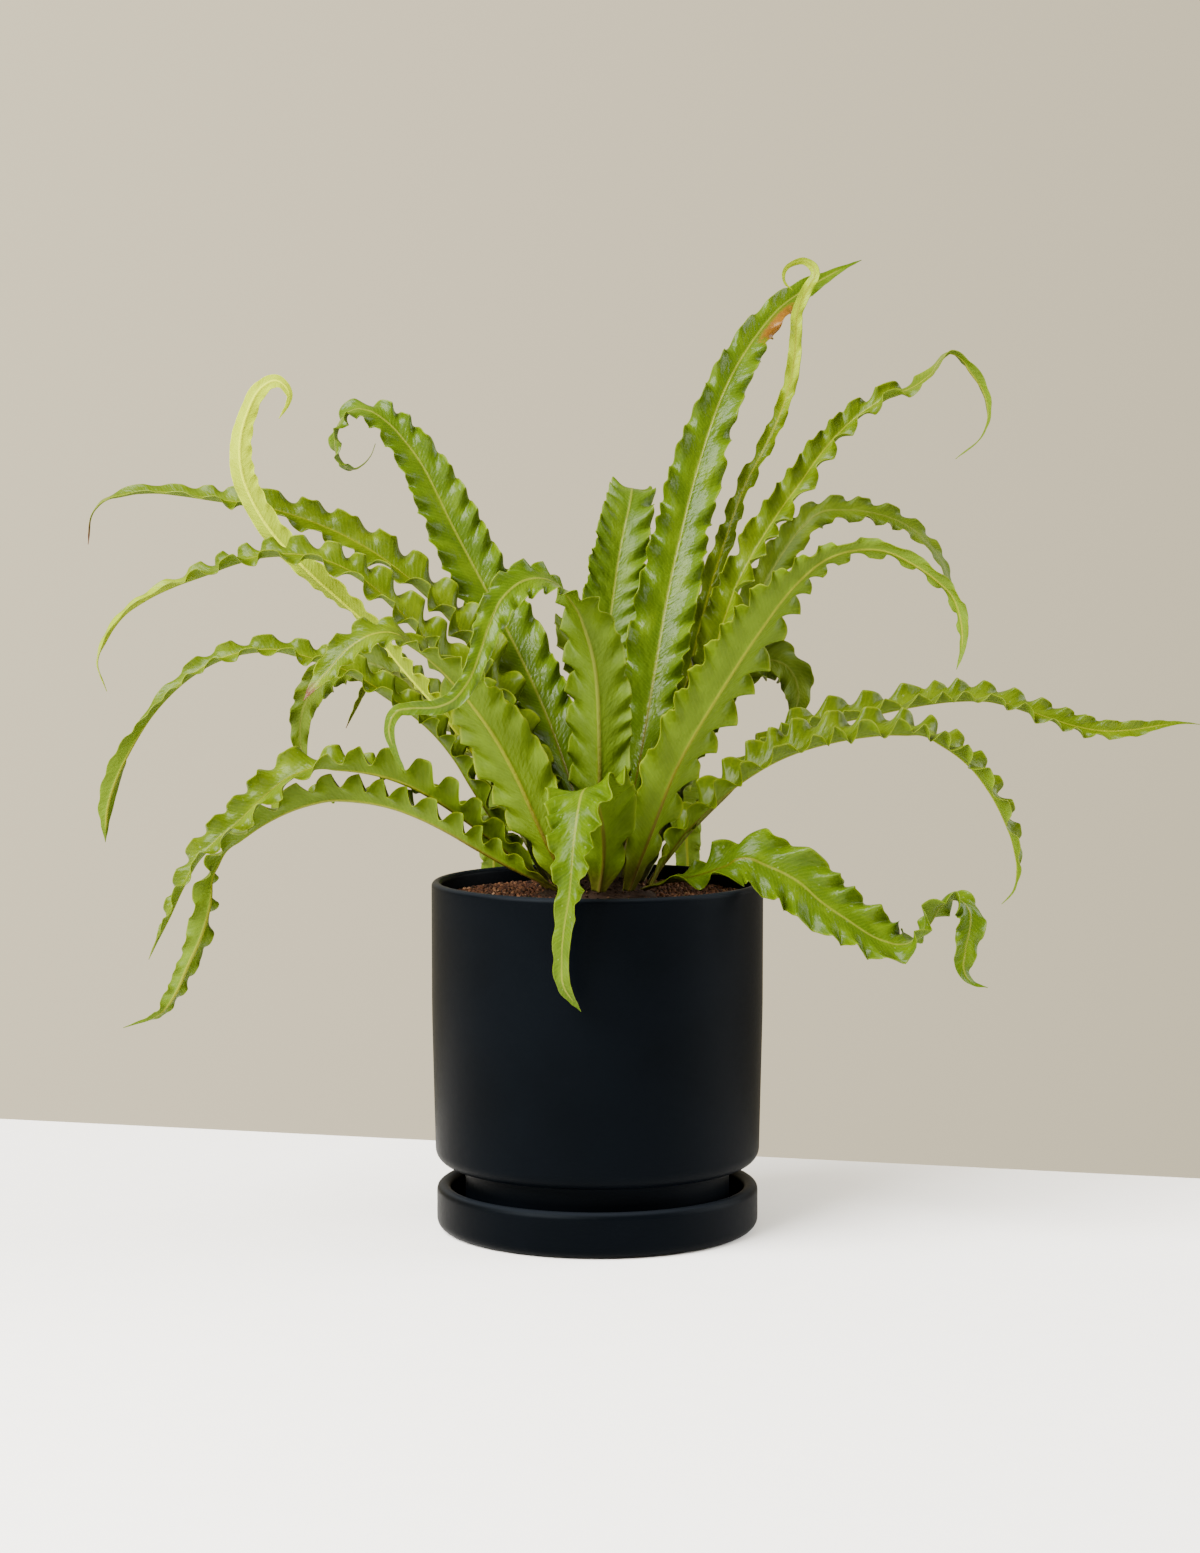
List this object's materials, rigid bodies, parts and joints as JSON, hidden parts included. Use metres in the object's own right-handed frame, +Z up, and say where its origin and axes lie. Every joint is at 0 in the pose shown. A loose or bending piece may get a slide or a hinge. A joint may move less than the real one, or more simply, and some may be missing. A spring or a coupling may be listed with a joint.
{
  "type": "potted fern",
  "caption": "Crinkle-fronded bird's-nest fern in a straight-sided round ceramic pot with a recessed foot, standing in a matching round saucer.",
  "frame": {"origin": "centre of the saucer's flat underside, on the pot's axis", "axes": "+Z up along the pot's axis; -Y is the side the plant is shown from; +X is to the viewer's right"},
  "size_m": [0.5165, 0.2819, 0.4424],
  "materials": {
    "black_ceramic": "satin, near-black with a blue cast",
    "growing_mix": "fine loose red-brown bark granules",
    "crown_scales": "matt, fibrous brown scales",
    "frond_green": "living leaf, glossy above and matt beneath",
    "frond_lime": "young living leaf, pale lime, satin",
    "frond_dull": "older living leaf, dull deep green"
  },
  "bodies": {
    "root": {"saucer": "black_ceramic", "pot": "black_ceramic", "growing_mix": "growing_mix", "crown": "crown_scales", "frond_back_centre_right": "frond_dull", "frond_back_left": "frond_green", "frond_back_left_hanging": "frond_dull", "frond_back_left_short": "frond_dull", "frond_back_low_left": "frond_green", "frond_back_low_right": "frond_green", "frond_back_right": "frond_green", "frond_back_shaded": "frond_dull", "frond_centre_back": "frond_green", "frond_centre_fold": "frond_green", "frond_far_left_lower": "frond_green", "frond_far_left_upper": "frond_green", "frond_far_right": "frond_green", "frond_front_hanging": "frond_green", "frond_front_left_arch": "frond_green", "frond_left_arch": "frond_green", "frond_left_curl": "frond_green", "frond_low_left_back": "frond_green", "frond_low_left_front": "frond_green", "frond_low_right": "frond_green", "frond_pale_new": "frond_lime", "frond_right_arch": "frond_green", "frond_right_back": "frond_dull", "frond_right_broad": "frond_green", "frond_right_hook": "frond_dull", "frond_right_kinked": "frond_green", "frond_tall": "frond_green", "frond_tall_slim": "frond_green"}
  },
  "joints": []
}
